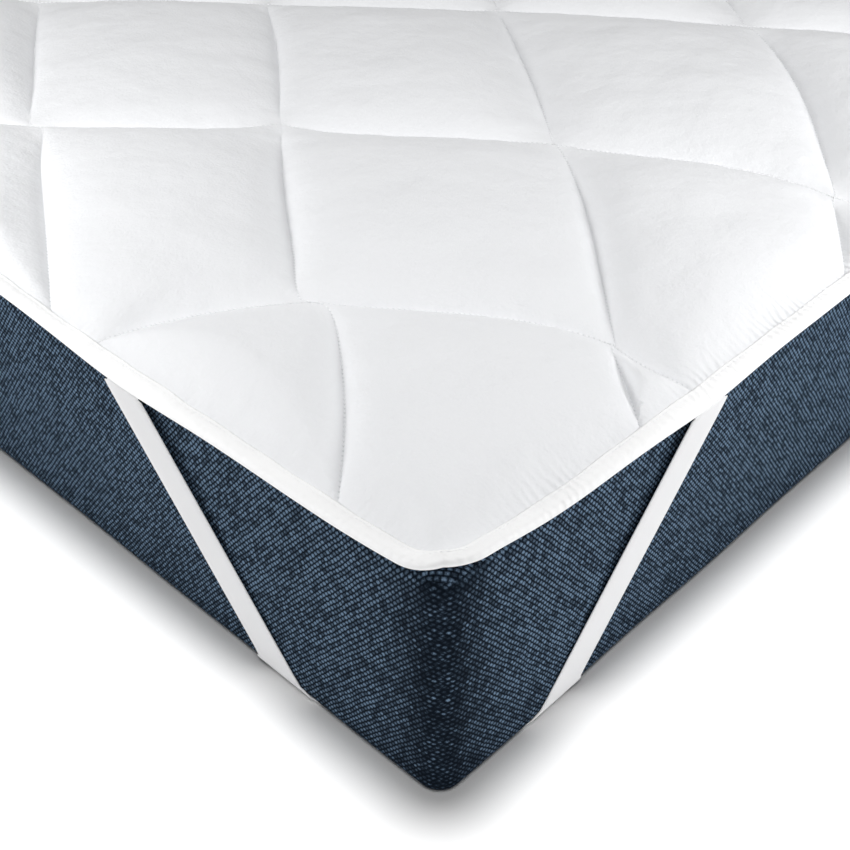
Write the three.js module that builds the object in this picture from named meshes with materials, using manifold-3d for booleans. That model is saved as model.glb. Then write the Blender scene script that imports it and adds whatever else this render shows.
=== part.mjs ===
// A quilted mattress topper with a bound edge and elastic corner straps, lying
// on a plain mattress.
//
// Millimetres, +Z up. The origin is on the floor under the middle of the bed.
// X runs across the bed and Y along it. The topper's edge rises at the corners
// and dips where the straps pull on it, and its face swells between diagonal
// seams.

import * as THREE from "three";
import { mergeVertices } from "three/addons/utils/BufferGeometryUtils.js";
import Module from "manifold-3d";

const wasm = await Module();
wasm.setup();

// ---------------------------------------------------------------- sizes

const topper = { width: 1400, length: 2000, cornerRadius: 40 };
const overhang = 8;
const mattress = { height: 210, cornerRadius: 20, edgeRadius: 12 };
const gap = 0.3;

// the edge tape, folded round the pad's border
const binding = { width: 14, height: 8, thickness: 1.2, nose: 3 };

// the pad: how thick it is at a seam, how far it swells between seams, how
// flat the swelling is on top, and how unevenly the cells are filled
const quilt = { seamHeight: 9, puff: 18, fullness: 2.6, uneven: 0.1 };

// the pad's face rises from the tape in a rounded crown
const crown = [
  { inset: 20, height: 11 },
  { inset: 32, height: 18 },
  { inset: 52, height: 25 },
  { inset: 120, height: 38 },
];

// one elastic band for each corner: down one side, under the corner, up the
// other. Its ends are sewn under the tape and bend down just inside its nose.
const strap = { width: 36, thickness: 1.2, sewn: 6, bendInset: 5, floorGap: 0.3 };

// where the straps' legs meet the edge tape and reach the foot of the wall,
// measured along each wall from the mattress's corner
const legs = {
  long: { top: 313, foot: 166, under: 146 },
  short: { top: 272, foot: 128, under: 109 },
};

// How far the topper's edge lies above (+) or below (-) the mattress's top on
// the long and short sides: it rests at one level, curls up near the corner
// ("lift"), is pulled down where a strap is sewn on ("dip"), and rides higher
// again towards the middle of the side ("middle").
const edges = {
  long: {
    rest: 0,
    lift: { height: 8, place: 0, reach: 70 },
    dip: { depth: 6, reach: 75 },
    middle: { height: 8, from: 330, reach: 150 },
  },
  short: {
    rest: -1.5,
    lift: { height: 15, place: 15, reach: 70 },
    dip: { depth: 6, reach: 65 },
    middle: { height: 4, from: 400, reach: 150 },
  },
};
const droopReach = 20;
const liftReach = 90;

const halfWidth = topper.width / 2;
const halfLength = topper.length / 2;
const mattressHalfWidth = halfWidth - overhang;
const mattressHalfLength = halfLength - overhang;
const restHeight = mattress.height + gap;

// ---------------------------------------------------------------- meshes

function geometryOf(points, triangles) {
  const geometry = new THREE.BufferGeometry();
  geometry.setAttribute("position", new THREE.Float32BufferAttribute(points.flat(), 3));
  geometry.setIndex(triangles.flat());
  return geometry;
}

function solidOf(geometry) {
  const merged = mergeVertices(geometry, 1e-4);
  const mesh = new wasm.Mesh({
    numProp: 3,
    vertProperties: new Float32Array(merged.attributes.position.array),
    triVerts: new Uint32Array(merged.index.array),
  });
  return new wasm.Manifold(mesh);
}

function geometryFrom(solid) {
  const { vertProperties, triVerts } = solid.getMesh();
  const geometry = new THREE.BufferGeometry();
  geometry.setAttribute("position", new THREE.Float32BufferAttribute(vertProperties, 3));
  geometry.setIndex(new THREE.Uint32BufferAttribute(triVerts, 1));
  return geometry;
}

// A closed body through a row of rings that have the same number of points.
// The first and last rings are capped, or joined to each other. A twisted
// four-sided face is creased along its higher diagonal, so that faces which
// lie close above each other crease alike and never meet.
function loft(rings, closed = false) {
  const points = rings.flat();
  const count = rings[0].length;
  const triangles = [];
  const last = closed ? rings.length : rings.length - 1;
  for (let ring = 0; ring < last; ring += 1) {
    const here = ring * count;
    const next = ((ring + 1) % rings.length) * count;
    for (let k = 0; k < count; k += 1) {
      const after = (k + 1) % count;
      const [a, b, c, d] = [here + k, here + after, next + after, next + k];
      const ridge = points[a][2] + points[c][2] >= points[b][2] + points[d][2];
      if (ridge) triangles.push([a, b, c], [a, c, d]);
      else triangles.push([a, b, d], [b, c, d]);
    }
  }
  if (!closed) {
    const end = (rings.length - 1) * count;
    for (const [a, b, c] of capTriangles(rings[0])) triangles.push([c, b, a]);
    for (const [a, b, c] of capTriangles(rings.at(-1))) {
      triangles.push([end + a, end + b, end + c]);
    }
  }
  return geometryOf(points, triangles);
}

// Triangles over a convex ring, from its first point.
function capTriangles(ring) {
  const triangles = [];
  for (let k = 1; k < ring.length - 1; k += 1) triangles.push([0, k, k + 1]);
  return triangles;
}

// ---------------------------------------------------------------- the edge

// Places round the topper, anticlockwise. Each has a foot on the line that
// the corners' centres make and an outward normal, so a line that is inset
// from the edge keeps the corners round. Places gather where a strap pulls.
function placesRound() {
  const radius = topper.cornerRadius;
  const arcSteps = 4;
  const places = [];
  const side = (dip, half) => {
    const near = [dip - 150, dip - 95, dip - 45, dip, dip + 45, dip + 110];
    const far = half > halfWidth ? [540, 700, 850] : [540];
    const toMiddle = [...near, ...far];
    return [...toMiddle, half, ...toMiddle.map((d) => 2 * half - d).reverse()];
  };
  const corners = [
    { x: 1, y: 1 },
    { x: -1, y: 1 },
    { x: -1, y: -1 },
    { x: 1, y: -1 },
  ];
  corners.forEach((corner, index) => {
    const x = corner.x * (halfWidth - radius);
    const y = corner.y * (halfLength - radius);
    for (let step = 0; step <= arcSteps; step += 1) {
      const angle = ((index + step / arcSteps) * Math.PI) / 2;
      places.push({ x, y, nx: Math.cos(angle), ny: Math.sin(angle) });
    }
    if (index % 2 === 0) {
      for (const along of side(legs.short.top + overhang, halfWidth)) {
        places.push({ x: corner.x * (halfWidth - along), y, nx: 0, ny: corner.y });
      }
    } else {
      for (const along of side(legs.long.top + overhang, halfLength)) {
        places.push({ x, y: corner.y * (halfLength - along), nx: corner.x, ny: 0 });
      }
    }
  });
  return places;
}

const places = placesRound();
const roundInset = 32;

// The ring of points at an inset from the topper's edge, at a height.
function edgeRing(inset, z) {
  const kept = Math.min(inset, roundInset);
  const shrinkX = (halfWidth - inset) / (halfWidth - kept);
  const shrinkY = (halfLength - inset) / (halfLength - kept);
  return places.map((place) => {
    const out = topper.cornerRadius - kept;
    return [(place.x + place.nx * out) * shrinkX, (place.y + place.ny * out) * shrinkY, z];
  });
}

const bump = (distance, reach) => Math.exp(-((distance / reach) ** 2));

// How far a side's edge stands above the mattress's top, by distance from
// the corner.
function edgeHeight(along, side) {
  const { rest, lift: curl, dip, middle } = edges[side];
  const loose = curl.height * bump(along - curl.place, curl.reach);
  const pulled = dip.depth * bump(along - legs[side].top - overhang, dip.reach);
  const past = Math.max(0, along - middle.from);
  return rest + loose - pulled + middle.height * (1 - bump(past, middle.reach));
}

// An edge's height fades out inwards, sooner where it hangs over the mattress
// than where it curls up.
function fade(height, inset) {
  const reach = height < 0 ? droopReach : liftReach;
  return height * Math.max(0, 1 - inset / reach) ** 2;
}

// How much nearer a place is to the rounded corner's edge than to a side.
function roundedOff(fromSide, fromEnd) {
  const radius = topper.cornerRadius;
  if (fromSide >= radius || fromEnd >= radius) return 0;
  const inset = radius - Math.hypot(radius - fromSide, radius - fromEnd);
  return Math.max(0, Math.min(fromSide, fromEnd) - inset);
}

// How far any point of the topper stands above the mattress's top.
function lift(x, y) {
  const fromSide = Math.max(0, halfWidth - Math.abs(x));
  const fromEnd = Math.max(0, halfLength - Math.abs(y));
  const off = roundedOff(fromSide, fromEnd);
  const bySide = fade(edgeHeight(fromEnd, "long"), fromSide - off);
  const byEnd = fade(edgeHeight(fromSide, "short"), fromEnd - off);
  return Math.abs(bySide) > Math.abs(byEnd) ? bySide : byEnd;
}

const settle = ([x, y, z]) => [x, y, restHeight + z + lift(x, y)];

// ---------------------------------------------------------------- the tape

// The tape's section as [inset, height], from its inner edge below, round the
// nose and back, then along its inside.
function bindingSection() {
  const { width, height, thickness, nose } = binding;
  return [
    [width, 0],
    [nose, 0],
    [0, nose * 0.9],
    [0, height - nose * 0.9],
    [nose, height],
    [width, height],
    [width, height - thickness],
    [nose + thickness / 2, height - thickness],
    [thickness, height - nose],
    [thickness, nose],
    [nose + thickness / 2, thickness],
    [width, thickness],
  ];
}

function bindingGeometry() {
  const section = bindingSection().map(([inset, z]) => edgeRing(inset, z).map(settle));
  return loft(section, true);
}

// ---------------------------------------------------------------- the pad

// The pad's border runs into the tape as a thin tongue, and its face rises
// from the tape's inner edge in a rounded crown.
function padEnvelope() {
  const tongueEnd = binding.thickness + gap;
  const tongueLow = binding.thickness + gap;
  const tongueHigh = binding.height - tongueLow;
  const rounding = 2;
  const inner = binding.width + gap;
  const profile = [
    [crown.at(-1).inset, 0],
    [liftReach * 0.6, 0],
    [droopReach, 0],
    [inner, 0],
    [inner, tongueLow],
    [tongueEnd + rounding, tongueLow],
    [tongueEnd, tongueLow + rounding],
    [tongueEnd, tongueHigh - rounding],
    [tongueEnd + rounding, tongueHigh],
    [inner, tongueHigh],
    ...crown.map(({ inset, height }) => [inset, height]),
  ];
  return loft(profile.map(([inset, z]) => edgeRing(inset, z).map(settle)));
}

// Where the diagonal seams cross, counted in two directions from the crossing
// nearest one corner of the bed. "along" is measured down the long side from
// the mattress's corner and "across" down the short side.
const seamStart = { along: 274, across: 124 };
const seamStepI = { along: 249, across: 207 };
const seamStepJ = { along: -209, across: 150 };

// Crossings that lie off the even pattern, where the cloth is pushed about.
const crossingShifts = [
  { i: 2, j: -1, along: 3, across: -22 },
  { i: 2, j: 0, along: 17, across: 8 },
  { i: 2, j: 1, along: 22, across: 26 },
  { i: 2, j: 2, along: -2, across: 33 },
  { i: 1, j: -1, along: -27, across: -1 },
  { i: 1, j: 0, along: 17, across: 15 },
  { i: 1, j: 1, along: 6, across: 14 },
  { i: 1, j: 2, along: -27, across: -48 },
  { i: 0, j: 0, along: 9, across: 30 },
  { i: 0, j: 1, along: 14, across: -6 },
  { i: 0, j: 2, along: 0, across: -174 },
  { i: 1, j: 3, along: 0, across: -120 },
  { i: 0, j: -1, along: -119, across: 0 },
  { i: -1, j: 0, along: -18, across: 0 },
  { i: -1, j: 1, along: 0, across: -37 },
];

// How far a seam bends sideways between two crossings. "toward" is the
// direction that the seam runs in from its crossing.
const seamBends = [
  { i: 0, j: 0, toward: "i", bend: -8 },
  { i: -1, j: 0, toward: "i", bend: 15 },
  { i: 0, j: 1, toward: "i", bend: 9 },
  { i: 1, j: 2, toward: "i", bend: 18 },
  { i: -1, j: 1, toward: "i", bend: 0 },
  { i: 0, j: -1, toward: "i", bend: 0 },
  { i: 1, j: 0, toward: "i", bend: 4 },
  { i: 1, j: 1, toward: "i", bend: 3 },
  { i: 1, j: -1, toward: "i", bend: -4 },
  { i: 0, j: 2, toward: "i", bend: 0 },
  { i: 2, j: -1, toward: "j", bend: -6 },
  { i: 1, j: -1, toward: "j", bend: 10 },
  { i: 1, j: 0, toward: "j", bend: 9 },
  { i: 1, j: 1, toward: "j", bend: -17 },
  { i: 0, j: -1, toward: "j", bend: -15 },
  { i: 0, j: 0, toward: "j", bend: -13 },
  { i: 0, j: 1, toward: "j", bend: -8 },
];

// elsewhere crossings and seams wander by this much
const wander = { crossing: 11, bend: 7 };

function crossing(i, j) {
  const known = crossingShifts.find((row) => row.i === i && row.j === j);
  const shift = known ?? {
    along: wander.crossing * Math.sin(2.3 * i + 1.7 * j),
    across: wander.crossing * Math.cos(1.9 * i - 2.6 * j),
  };
  const along = seamStart.along + i * seamStepI.along + j * seamStepJ.along + shift.along;
  const across = seamStart.across + i * seamStepI.across + j * seamStepJ.across + shift.across;
  return new THREE.Vector2(across - mattressHalfWidth, along - mattressHalfLength);
}

// A point on the seam that leaves a crossing, at a share of its length.
function seamPoint(i, j, toward, share) {
  const from = crossing(i, j);
  const to = toward === "i" ? crossing(i + 1, j) : crossing(i, j + 1);
  const known = seamBends.find((row) => row.i === i && row.j === j && row.toward === toward);
  const phase = toward === "i" ? 0 : 2;
  const bend = known ? known.bend : wander.bend * Math.sin(3.1 * i + 1.3 * j + phase);
  const run = to.clone().sub(from);
  const side = new THREE.Vector2(run.y, -run.x).normalize();
  const sway = bend * 4 * share * (1 - share);
  return from.addScaledVector(run, share).addScaledVector(side, sway);
}

// A point inside a cell, blended from its four seams, with its height.
function cellPoint(i, j, u, v) {
  const blend = new THREE.Vector2();
  blend.addScaledVector(seamPoint(i, j, "i", u), 1 - v);
  blend.addScaledVector(seamPoint(i, j + 1, "i", u), v);
  blend.addScaledVector(seamPoint(i, j, "j", v), 1 - u);
  blend.addScaledVector(seamPoint(i + 1, j, "j", v), u);
  blend.addScaledVector(crossing(i, j), -(1 - u) * (1 - v));
  blend.addScaledVector(crossing(i + 1, j), -u * (1 - v));
  blend.addScaledVector(crossing(i, j + 1), -(1 - u) * v);
  blend.addScaledVector(crossing(i + 1, j + 1), -u * v);
  const swell = (share) => 1 - Math.abs(2 * share - 1) ** quilt.fullness;
  const filling = 1 + quilt.uneven * Math.sin(2.1 * i + 3.7 * j);
  const z = quilt.seamHeight + quilt.puff * filling * swell(u) * swell(v);
  return settle([blend.x, blend.y, z]);
}

// The quilted face as a closed slab that reaches past the topper all round.
function quiltedSlab() {
  const first = { i: -2, j: -6 };
  const cells = { i: 10, j: 12 };
  const shares = [0, 0.08, 0.25, 0.5, 0.75, 0.92];
  const below = -60;
  const columns = [];
  for (let cell = 0; cell < cells.i; cell += 1) {
    for (const u of shares) columns.push([first.i + cell, u]);
  }
  columns.push([first.i + cells.i - 1, 1]);
  const rows = [];
  for (let cell = 0; cell < cells.j; cell += 1) {
    for (const v of shares) rows.push([first.j + cell, v]);
  }
  rows.push([first.j + cells.j - 1, 1]);

  const points = [];
  for (const [j, v] of rows) {
    for (const [i, u] of columns) points.push(cellPoint(i, j, u, v));
  }
  const width = columns.length;
  const top = points.length;
  for (const [x, y] of [...points]) points.push([x, y, restHeight + below]);

  // crossings run anticlockwise seen from below, so the top is wound back
  const triangles = [];
  for (let row = 0; row < rows.length - 1; row += 1) {
    for (let column = 0; column < width - 1; column += 1) {
      const a = row * width + column;
      const [b, c, d] = [a + 1, a + width + 1, a + width];
      triangles.push([a, c, b], [a, d, c]);
      triangles.push([a + top, b + top, c + top], [a + top, c + top, d + top]);
    }
  }
  const wall = (from, to) => triangles.push([from, to, to + top], [from, to + top, from + top]);
  const lastRow = (rows.length - 1) * width;
  for (let column = 0; column < width - 1; column += 1) {
    wall(column, column + 1);
    wall(lastRow + column + 1, lastRow + column);
  }
  for (let row = 0; row < rows.length - 1; row += 1) {
    wall((row + 1) * width, row * width);
    wall(row * width + width - 1, (row + 1) * width + width - 1);
  }
  return geometryOf(points, triangles);
}

function padGeometry() {
  const pad = solidOf(padEnvelope()).intersect(solidOf(quiltedSlab()));
  return geometryFrom(pad);
}

// ---------------------------------------------------------------- the straps

const foldSteps = 4;

// One leg of a strap on its wall, as stations from the tape down to the
// underside: "out" from the wall, "along" it from the corner, and z. The
// stations follow the face of the strap that looks at the mattress.
function legStations(side) {
  const leg = legs[side];
  const height = edgeHeight(leg.top + overhang, side);
  const tapeUnder = (inset) => {
    const share = (inset - binding.nose) / (binding.width - binding.nose);
    const slope = THREE.MathUtils.lerp(fade(height, binding.nose), fade(height, binding.width), share);
    return restHeight + slope;
  };
  const drop = gap + strap.thickness;
  const sewnInset = strap.bendInset + strap.sewn;
  const sewnEnd = { out: overhang - sewnInset, z: tapeUnder(sewnInset) - drop };
  const bend = { out: overhang - strap.bendInset, z: tapeUnder(strap.bendInset) - drop - 0.5 };
  const bendRadius = 2.5;

  const stations = [
    { ...sewnEnd, along: leg.top },
    { ...bend, along: leg.top },
    { out: bend.out + bendRadius, along: leg.top - 1, z: bend.z - bendRadius },
  ];
  const radius = mattress.edgeRadius;
  const underside = strap.floorGap + strap.thickness;
  const offWall = gap + 0.05;
  for (let step = 0; step <= foldSteps; step += 1) {
    const turn = ((step / foldSteps) * Math.PI) / 2;
    stations.push({
      out: -radius + (radius + offWall) * Math.cos(turn),
      along: leg.foot + (leg.under - leg.foot) * (step / foldSteps),
      z: radius - (radius - underside) * Math.sin(turn),
    });
  }
  return stations;
}

// The strap's section at a station. The direction that the strap runs in gives
// how long the slanting section is, and its thickness is laid off square to
// that direction.
function legSection(stations, index, slack, inner, outer) {
  const here = stations[index];
  const before = stations[Math.max(0, index - 1)];
  const after = stations[Math.min(stations.length - 1, index + 1)];
  const run = Math.hypot(after.out - before.out, after.z - before.z);
  const slant = Math.hypot(run, after.along - before.along) / run;
  const normal = { out: -(after.z - before.z) / run, z: (after.out - before.out) / run };
  const half = (strap.width / 2) * slant + slack;
  const face = (along, depth) => ({
    out: here.out + normal.out * depth,
    along,
    z: here.z + normal.z * depth,
  });
  const far = here.along + half;
  const near = here.along - half;
  return [face(far, inner), face(near, inner), face(near, outer), face(far, outer)];
}

// The whole band at one corner of the bed, or, with some slack, the space that
// its folded lower part takes where it is pressed into the mattress.
function strapGeometry(signX, signY, { slack = 0, inner = 0, outer, foldOnly = false }) {
  const onLongWall = ({ out, along, z }) => [
    signX * (mattressHalfWidth + out),
    signY * (mattressHalfLength - along),
    z,
  ];
  const onShortWall = ({ out, along, z }) => [
    signX * (mattressHalfWidth - along),
    signY * (mattressHalfLength + out),
    z,
  ];
  const sections = (side, place) => {
    const stations = legStations(side);
    const rings = stations.map((_, index) => legSection(stations, index, slack, inner, outer));
    const kept = foldOnly ? rings.slice(-foldSteps - 1) : rings;
    return kept.map((ring) => ring.map(place));
  };
  const down = sections("long", onLongWall);
  const up = sections("short", onShortWall).reverse();
  const rings = [...down, ...up];
  if (signX * signY < 0) rings.forEach((ring) => ring.reverse());
  return loft(rings);
}

// ---------------------------------------------------------------- the mattress

function mattressRing(inset, z) {
  const arcSteps = 6;
  const radius = mattress.cornerRadius - inset;
  const ring = [];
  for (let quarter = 0; quarter < 4; quarter += 1) {
    const signX = quarter === 0 || quarter === 3 ? 1 : -1;
    const signY = quarter < 2 ? 1 : -1;
    for (let step = 0; step <= arcSteps; step += 1) {
      const angle = ((quarter + step / arcSteps) * Math.PI) / 2;
      const x = signX * (mattressHalfWidth - mattress.cornerRadius) + radius * Math.cos(angle);
      const y = signY * (mattressHalfLength - mattress.cornerRadius) + radius * Math.sin(angle);
      ring.push([x, y, z]);
    }
  }
  return ring;
}

function mattressGeometry() {
  const edgeSteps = 5;
  const round = mattress.edgeRadius;
  const rings = [];
  for (let step = 0; step <= edgeSteps; step += 1) {
    const turn = ((step / edgeSteps) * Math.PI) / 2;
    rings.push(mattressRing(round * (1 - Math.sin(turn)), round * (1 - Math.cos(turn))));
  }
  for (let step = 0; step <= edgeSteps; step += 1) {
    const turn = ((step / edgeSteps) * Math.PI) / 2;
    const z = mattress.height - round * (1 - Math.sin(turn));
    rings.push(mattressRing(round * (1 - Math.cos(turn)), z));
  }
  let body = solidOf(loft(rings));
  const press = { slack: 0.8, inner: -gap - 0.1, outer: 6, foldOnly: true };
  for (const { signX, signY } of bedCorners) {
    body = body.subtract(solidOf(strapGeometry(signX, signY, press)));
  }
  return geometryFrom(body);
}

// ---------------------------------------------------------------- the part

const bedCorners = [
  { name: "foot_left", signX: -1, signY: -1 },
  { name: "foot_right", signX: 1, signY: -1 },
  { name: "head_left", signX: -1, signY: 1 },
  { name: "head_right", signX: 1, signY: 1 },
];

const navyWeave = new THREE.MeshStandardMaterial({ color: "#24384d", roughness: 0.9 });
const whiteMicrofibre = new THREE.MeshStandardMaterial({ color: "#eff0f3", roughness: 0.75 });
const whiteTape = new THREE.MeshStandardMaterial({ color: "#fafafa", roughness: 0.8 });
const whiteElastic = new THREE.MeshStandardMaterial({ color: "#e6e7ea", roughness: 0.7 });

function piece(name, geometry, material) {
  const mesh = new THREE.Mesh(geometry, material);
  mesh.name = name;
  return mesh;
}

const bed = new THREE.Group();
bed.add(piece("mattress", mattressGeometry(), navyWeave));
bed.add(piece("topper_pad", padGeometry(), whiteMicrofibre));
bed.add(piece("edge_binding", bindingGeometry(), whiteTape));
for (const { name, signX, signY } of bedCorners) {
  const band = strapGeometry(signX, signY, { outer: strap.thickness });
  bed.add(piece(`corner_strap_${name}`, band, whiteElastic));
}

export default bed;
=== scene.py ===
# %% [markdown]
# # A quilted mattress topper on its mattress
#
# The real thing is two white microfibre cloths with a thick wadding between
# them, quilted by machine in wandering diagonal seams. A folded tape binds the
# edge, and an elastic band at each corner goes under the mattress.
#
# The frame gives the sizes. Each cell below makes one piece on top of it, so
# the pad, the tape, the bands and the mattress stay where the frame has them.

# %% Load the frame
import math

import bpy
import numpy as np
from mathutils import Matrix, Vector
from mathutils.geometry import delaunay_2d_cdt
from mathutils.kdtree import KDTree


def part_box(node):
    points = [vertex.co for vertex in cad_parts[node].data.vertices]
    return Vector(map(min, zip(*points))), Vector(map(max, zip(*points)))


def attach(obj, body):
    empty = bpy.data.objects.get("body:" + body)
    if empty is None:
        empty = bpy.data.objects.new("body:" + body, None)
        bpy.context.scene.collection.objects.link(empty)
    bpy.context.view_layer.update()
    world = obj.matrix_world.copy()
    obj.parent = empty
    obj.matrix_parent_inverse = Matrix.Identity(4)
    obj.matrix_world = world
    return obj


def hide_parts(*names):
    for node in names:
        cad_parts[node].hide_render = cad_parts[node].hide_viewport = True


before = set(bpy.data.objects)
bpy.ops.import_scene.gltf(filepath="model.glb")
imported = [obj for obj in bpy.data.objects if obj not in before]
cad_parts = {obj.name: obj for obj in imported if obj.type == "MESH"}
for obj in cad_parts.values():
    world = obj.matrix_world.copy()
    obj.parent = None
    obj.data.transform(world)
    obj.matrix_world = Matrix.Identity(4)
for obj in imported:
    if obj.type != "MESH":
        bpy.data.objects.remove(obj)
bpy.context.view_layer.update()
MM = 0.001
print("pieces in the frame:", sorted(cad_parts))

# %% Read the driving sizes off the frame
_, tape_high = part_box("edge_binding")
_, bed_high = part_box("mattress")
half_width, half_length = tape_high.x, tape_high.y
bed_half_width, bed_half_length, bed_height = bed_high.x, bed_high.y, bed_high.z
overhang = half_width - bed_half_width
gap = 0.3 * MM
rest_height = bed_height + gap
print(f"topper {2 * half_width:.2f} x {2 * half_length:.2f} m, overhang {overhang / MM:.0f} mm")

# %% [markdown]
# ## The camera
#
# The camera comes first, because it decides how fine each detail has to be.
# It looks down on one foot corner of the bed. A pixel there is about 0.65 mm
# wide, so threads of half a millimetre can only just be seen.

# %% Place the camera
def direction(azimuth, elevation):
    """The way that points at these angles from +X and from the level."""
    level = math.cos(elevation)
    return Vector((math.cos(azimuth) * level, math.sin(azimuth) * level, math.sin(elevation)))


def add_object(name, data):
    added = bpy.data.objects.new(name, data)
    bpy.context.scene.collection.objects.link(added)
    return added


eye = Vector((-1.0965, -1.3649, 0.767))
pitch = math.radians(38.05)
heading = math.atan2(0.6921, 0.7218)
look = direction(heading, -pitch)
camera_data = bpy.data.cameras.new("camera")
camera_data.sensor_width = 36
camera_data.lens = 55.52
camera = add_object("camera", camera_data)
camera.location = eye
camera.rotation_euler = look.to_track_quat("-Z", "Y").to_euler()
bpy.context.scene.camera = camera
print(f"camera looks down {math.degrees(pitch):.1f} degrees with a {camera_data.lens} mm lens")

# %% [markdown]
# ## Helpers for colours, nodes and meshes
#
# Colours are written as sRGB hex values, as a maker would pick them from a
# cloth card, and one function turns them to linear light. Meshes come from
# numpy arrays, because a quilted face has tens of thousands of points.


# %% Make small helpers
def linear(hex_colour):
    values = [int(hex_colour[k : k + 2], 16) / 255 for k in (1, 3, 5)]
    curve = [v / 12.92 if v <= 0.04045 else ((v + 0.055) / 1.055) ** 2.4 for v in values]
    return (*curve, 1.0)


def add_node(tree, kind, settings=None, **links):
    """Adds a node. Settings are its properties, and links its inputs by name,
    each a socket to join or a value to set."""
    node = tree.nodes.new(kind)
    for name, value in (settings or {}).items():
        setattr(node, name, value)
    for name, value in links.items():
        place = int(name[1:]) if name[0] == "_" else name.replace("_", " ")
        socket = node.inputs[place]
        if isinstance(value, bpy.types.NodeSocket):
            tree.links.new(value, socket)
        else:
            socket.default_value = value
    return node


def calc(operation, *values):
    """A Math node's result. Its values are numbers and at least one socket, in
    whose tree it goes."""
    tree = next(value.id_data for value in values if isinstance(value, bpy.types.NodeSocket))
    node = tree.nodes.new("ShaderNodeMath")
    node.operation = operation
    for socket, value in zip(node.inputs, values):
        if isinstance(value, bpy.types.NodeSocket):
            tree.links.new(value, socket)
        else:
            socket.default_value = value
    return node.outputs[0]


def new_material(name):
    material = bpy.data.materials.new(name)
    material.use_nodes = True
    material.node_tree.nodes.clear()
    return material


def mesh_object(name, points, faces, smooth=True):
    mesh = bpy.data.meshes.new(name)
    mesh.from_pydata(np.asarray(points).tolist(), [], faces)
    mesh.validate()
    if smooth:
        mesh.shade_smooth()
    return add_object(name, mesh)


def triangle_count(piece):
    return sum(len(face.vertices) - 2 for face in piece.data.polygons)


def add_uv(piece, name, places):
    """Lays a UV map on a piece from one place for each of its points."""
    loop_points = np.zeros(len(piece.data.loops), int)
    piece.data.loops.foreach_get("vertex_index", loop_points)
    layer = piece.data.uv_layers.new(name=name)
    layer.data.foreach_set("uv", places[loop_points].ravel())


def band_faces(first, second):
    """Four-sided faces between two closed rings of point numbers."""
    after_first, after_second = np.roll(first, -1), np.roll(second, -1)
    return np.column_stack([first, after_first, after_second, second])


def tube_faces(stations, around):
    """The faces of a tube made of rings, closed at both ends."""
    numbers = np.arange(stations * around).reshape(stations, around)
    faces = []
    for first, second in zip(numbers[:-1], numbers[1:]):
        faces.extend(band_faces(first, second).tolist())
    return [*faces, numbers[0][::-1].tolist(), numbers[-1].tolist()]


def walk_round(half_x, half_y, radius, arc_steps, spacing):
    """Feet and outward normals round a box with round corners, anticlockwise."""
    feet, normals = [], []
    inner_x, inner_y = half_x - radius, half_y - radius
    corners = [(inner_x, inner_y), (-inner_x, inner_y), (-inner_x, -inner_y), (inner_x, -inner_y)]
    for index, corner in enumerate(corners):
        after = corners[(index + 1) % 4]
        for turn in (index + np.arange(arc_steps) / arc_steps) * math.pi / 2:
            feet.append(corner)
            normals.append((math.cos(turn), math.sin(turn)))
        turn = (index + 1) * math.pi / 2
        steps = round(math.dist(corner, after) / spacing)
        for step in range(steps):
            share = step / steps
            feet.append(tuple(a + (b - a) * share for a, b in zip(corner, after)))
            normals.append((math.cos(turn), math.sin(turn)))
    return np.array(feet), np.array(normals)


# %% [markdown]
# ## The seams
#
# The quilting machine sews two families of seams that cross on a slant, about
# 0.3 m apart. The soft cloth shifts under the needle, so the crossings near
# one corner are listed one by one, and elsewhere they wander by a formula.
#
# A crossing is counted by two whole numbers. "Along" is measured down the long
# side of the mattress from its corner, and "across" down the short side.

# %% Place the crossings
seam_start = np.array([274.0, 124.0])
seam_step_i = np.array([249.0, 207.0])
seam_step_j = np.array([-209.0, 150.0])
first_i, cells_i = -2, 9
first_j, cells_j = -6, 11
crossing_wander = 11.0
seam_wander = 7.0

crossing_shifts = {
    (2, -1): (3, -22), (2, 0): (17, 8), (2, 1): (22, 26), (2, 2): (-2, 33), (1, -1): (-27, -1),
    (1, 0): (17, 15), (1, 1): (6, 14), (1, 2): (-27, -48), (0, 0): (9, 30), (0, 1): (14, -6),
    (0, 2): (0, -174), (1, 3): (0, -120), (0, -1): (-119, 0), (-1, 0): (-18, 0),
    (-1, 1): (0, -37),
}
# how far a seam bows to one side, and how far the bow leans to its far end
bends_toward_i = {
    (0, 0): (-8, 3), (-1, 0): (15, 17), (0, 1): (9, 5), (1, 2): (18, 7), (-1, 1): (0, 0),
    (0, -1): (1, 0), (1, 0): (4, 0), (1, 1): (3, 0), (1, -1): (-4, 0), (0, 2): (0, 0),
}
bends_toward_j = {
    (2, -1): (-6, 0), (1, -1): (10, 6), (1, 0): (9, -11), (1, 1): (-17, -16), (0, -1): (-15, 0),
    (0, 0): (-13, -11), (0, 1): (-8, -21),
}
# where the first family's seams step aside as they cross one of the second
jogs = {(0, 0): 18, (1, -1): 12}

count_i = np.arange(first_i, first_i + cells_i + 1)
count_j = np.arange(first_j, first_j + cells_j + 1)
grid_i, grid_j = np.meshgrid(count_i, count_j, indexing="ij")

shift = crossing_wander * np.stack(
    [np.sin(2.3 * grid_i + 1.7 * grid_j), np.cos(1.9 * grid_i - 2.6 * grid_j)], -1
)
for (i, j), known in crossing_shifts.items():
    shift[i - first_i, j - first_j] = known
even = seam_start + grid_i[..., None] * seam_step_i + grid_j[..., None] * seam_step_j
placed = (even + shift) * MM
crossings = np.stack(
    [placed[..., 1] - bed_half_width, placed[..., 0] - bed_half_length], -1
)

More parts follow.
